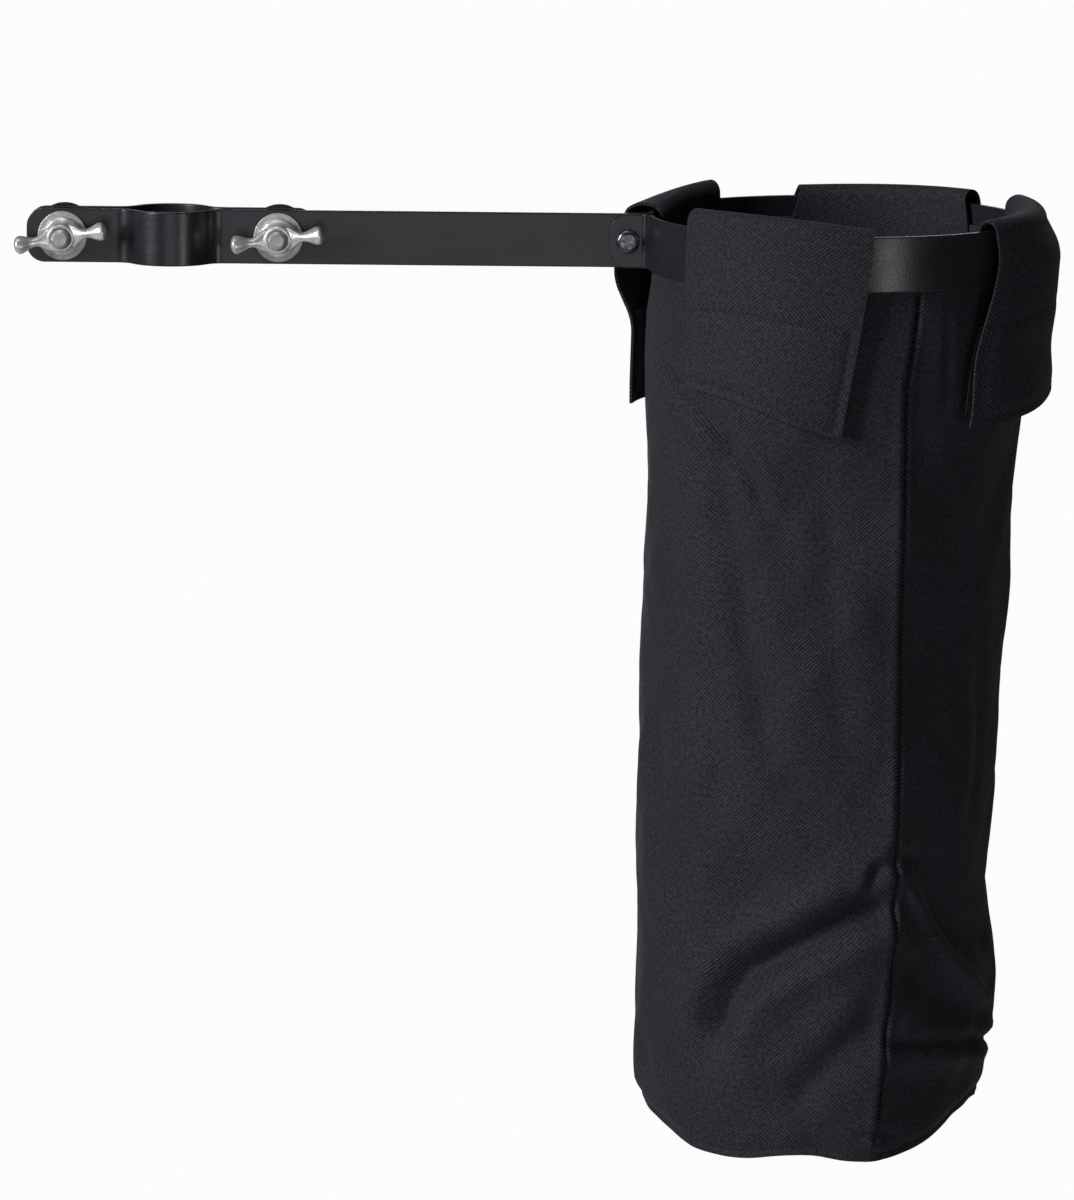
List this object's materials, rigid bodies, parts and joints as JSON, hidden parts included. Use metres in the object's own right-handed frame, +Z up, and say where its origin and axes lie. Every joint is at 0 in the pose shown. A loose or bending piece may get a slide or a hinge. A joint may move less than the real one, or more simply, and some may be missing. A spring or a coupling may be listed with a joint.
{
  "type": "stand-clamp bag holder",
  "caption": "Open-topped cloth bag hung by folded loops on a flat-strip ring, with an arm that clamps to a stand tube by a rear jaw, bolts and wing nuts.",
  "frame": {"origin": "centre of the clamp's bore, half-way up the strip, where the stand tube's axis passes", "axes": "+Z up the stand tube, +X from the tube to the bag, -Y towards the wing nuts"},
  "size_m": [0.3451, 0.1326, 0.3132],
  "materials": {
    "black_painted_steel": "semi-gloss powder coat",
    "zinc_plated_steel": "bright zinc plate",
    "zinc_die_cast": "bright plated die casting",
    "black_oxide_steel": "oiled black oxide",
    "oxford_cloth": "woven polyester, matt",
    "binding_tape": "folded cloth binding",
    "hook_tape": "moulded hooks on woven tape",
    "loop_tape": "brushed loops on knitted tape"
  },
  "bodies": {
    "arm": {"support_arm": "black_painted_steel", "left_front_washer": "zinc_plated_steel", "right_front_washer": "zinc_plated_steel", "ring_screw": "black_oxide_steel", "ring_washer": "black_oxide_steel", "ring_lock_nut": "black_oxide_steel"},
    "rear_clamp": {"rear_jaw": "black_painted_steel", "left_clamp_bolt": "zinc_plated_steel", "right_clamp_bolt": "zinc_plated_steel", "left_rear_washer": "black_painted_steel", "right_rear_washer": "black_painted_steel"},
    "left_nut": {"left_wing_nut": "zinc_die_cast"},
    "right_nut": {"right_wing_nut": "zinc_die_cast"},
    "bag": {"ring_strap": "black_painted_steel", "bag_wall": "oxford_cloth", "bag_bottom": "oxford_cloth", "bottom_binding": "binding_tape", "top_hem": "binding_tape", "front_seam_allowance": "oxford_cloth", "rear_seam_allowance": "oxford_cloth", "front_loop_root": "oxford_cloth", "front_loop_patch": "loop_tape", "outer_loop_root": "oxford_cloth", "outer_loop_patch": "loop_tape", "back_loop_root": "oxford_cloth", "back_loop_patch": "loop_tape", "inner_loop_root": "oxford_cloth", "inner_loop_patch": "loop_tape"},
    "front_flap_body": {"front_flap": "oxford_cloth", "front_hook_patch": "hook_tape"},
    "outer_flap_body": {"outer_flap": "oxford_cloth", "outer_hook_patch": "hook_tape"},
    "back_flap_body": {"back_flap": "oxford_cloth", "back_hook_patch": "hook_tape"},
    "inner_flap_body": {"inner_flap": "oxford_cloth", "inner_hook_patch": "hook_tape"}
  },
  "joints": [
    {"name": "left_nut_turn", "type": "hinge", "parent": "arm", "child": "left_nut", "pos_m": [-0.036, -0.01, 0], "axis": [0, -1, 0], "range_deg": [0, 1800]},
    {"name": "right_nut_turn", "type": "hinge", "parent": "arm", "child": "right_nut", "pos_m": [0.036, -0.01, 0], "axis": [0, -1, 0], "range_deg": [0, 1800]},
    {"name": "jaw_release", "type": "slide", "parent": "arm", "child": "rear_clamp", "axis": [0, 1, 0], "range_m": [0, 0.0055]},
    {"name": "ring_tilt", "type": "hinge", "parent": "arm", "child": "bag", "pos_m": [0.1525, -0.0035, 0], "axis": [0, 1, 0], "range_deg": [-20, 20]},
    {"name": "front_flap_lift", "type": "hinge", "parent": "bag", "child": "front_flap_body", "pos_m": [0.19997, -0.06486, 0.014], "axis": [-0.9397, 0.342, 0], "range_deg": [0, 150]},
    {"name": "outer_flap_lift", "type": "hinge", "parent": "bag", "child": "outer_flap_body", "pos_m": [0.2908, -0.01931, 0.014], "axis": [-0.225, -0.9744, 0], "range_deg": [0, 150]},
    {"name": "back_flap_lift", "type": "hinge", "parent": "bag", "child": "back_flap_body", "pos_m": [0.2403, 0.05927, 0.014], "axis": [0.9613, -0.2756, 0], "range_deg": [0, 150]},
    {"name": "inner_flap_lift", "type": "hinge", "parent": "bag", "child": "inner_flap_body", "pos_m": [0.16376, 0.03168, 0.014], "axis": [0.515, 0.8572, 0], "range_deg": [0, 150]}
  ],
  "couplings": [
    {"joint": "right_nut_turn", "follows": "left_nut_turn", "ratio": 1},
    {"joint": "jaw_release", "follows": "left_nut_turn", "m_per_rad": 0.00015915}
  ]
}
